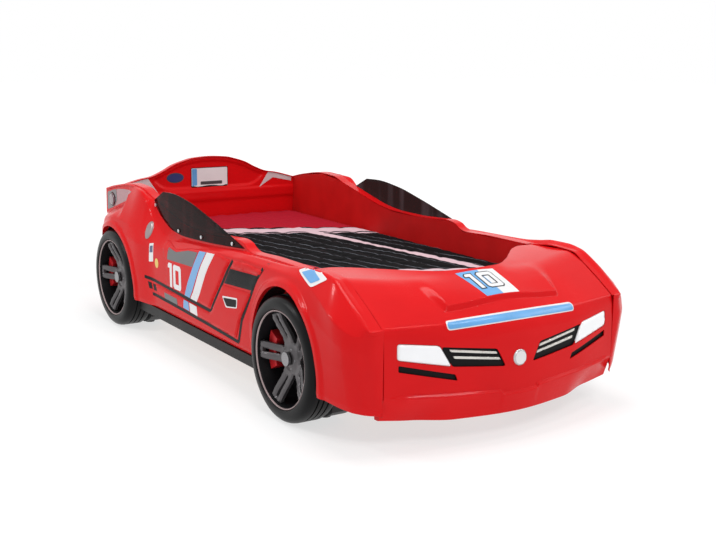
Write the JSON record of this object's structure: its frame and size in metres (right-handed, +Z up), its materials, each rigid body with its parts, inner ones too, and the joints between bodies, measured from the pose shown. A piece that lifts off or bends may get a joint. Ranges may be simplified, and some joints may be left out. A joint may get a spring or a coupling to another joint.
{
  "type": "children's car bed",
  "caption": "Child's bed shaped as a low racing car: boarded mattress well, moulded red shells, dress wheels, smoked side panes and lit headlamps.",
  "frame": {"origin": "on the floor, midway between the nose and the rear face and midway between the sides", "axes": "+Z up, nose towards -Y, +X towards the left side of the car"},
  "size_m": [1.182, 2.306, 0.709],
  "materials": {
    "red_shell": "gloss",
    "red_board": "satin lacquer",
    "base_board": "raw",
    "black_board": "matt foil",
    "black_plastic": "matt",
    "steel": "zinc plated",
    "tyre_black": "matt",
    "rim_grey": "satin metallic",
    "cap_grey": "satin metallic",
    "caliper_red": "gloss",
    "smoked_pane": "gloss",
    "lens_white": "milky gloss",
    "lamp_red": "gloss",
    "silver_plastic": "satin metallic",
    "circuit_green": "solder mask",
    "lead_black": "matt",
    "felt": "felt",
    "mattress_cloth": "knitted ticking",
    "spread_cloth": "quilted satin"
  },
  "bodies": {
    "bed": {"left_side_panel": "red_board", "right_side_panel": "red_board", "headboard": "red_board", "foot_panel": "black_board", "front_left_leg": "black_board", "front_right_leg": "black_board", "rear_left_leg": "black_board", "rear_right_leg": "black_board", "centre_leg": "black_board", "left_mattress_ledge": "base_board", "right_mattress_ledge": "base_board", "base_board_1": "base_board", "base_board_2": "base_board", "base_board_3": "base_board", "centre_beam": "base_board", "floor_glides": "felt", "frame_bolts": "steel", "window_screws": "steel", "front_left_tyre": "tyre_black", "front_left_rim": "rim_grey", "front_right_tyre": "tyre_black", "front_right_rim": "rim_grey", "rear_left_tyre": "tyre_black", "rear_left_rim": "rim_grey", "rear_right_tyre": "tyre_black", "rear_right_rim": "rim_grey", "wheel_caps": "cap_grey", "brake_calipers": "caliper_red", "front_shell": "red_shell", "tail_shell": "red_shell", "left_side_shell": "red_shell", "right_side_shell": "red_shell", "left_sill": "black_plastic", "right_sill": "black_plastic", "left_window": "smoked_pane", "right_window": "smoked_pane", "left_headlamp_lens": "lens_white", "left_headlamp_housing": "black_plastic", "left_grille": "black_plastic", "left_air_slot": "black_plastic", "left_led_board": "circuit_green", "left_tail_lamp": "lamp_red", "right_headlamp_lens": "lens_white", "right_headlamp_housing": "black_plastic", "right_grille": "black_plastic", "right_air_slot": "black_plastic", "right_led_board": "circuit_green", "right_tail_lamp": "lamp_red", "nose_badge": "silver_plastic", "fuel_cap": "silver_plastic", "light_control_box": "black_plastic", "power_inlet": "black_plastic", "harness_clips": "black_plastic", "right_lamp_lead": "lead_black", "left_lamp_lead": "lead_black", "power_lead": "lead_black"},
    "light_switch": {"light_switch": "black_plastic"},
    "mattress": {"mattress": "mattress_cloth", "bedspread": "spread_cloth"}
  },
  "joints": [
    {"name": "mattress_tilt", "type": "hinge", "parent": "bed", "child": "mattress", "pos_m": [0, -0.8515, 0.4155], "axis": [1, 0, 0], "range_deg": [0, 22]},
    {"name": "switch_rock", "type": "hinge", "parent": "bed", "child": "light_switch", "pos_m": [-0.466, 0.8, 0.53], "axis": [0, 1, 0], "range_deg": [0, 10]}
  ]
}
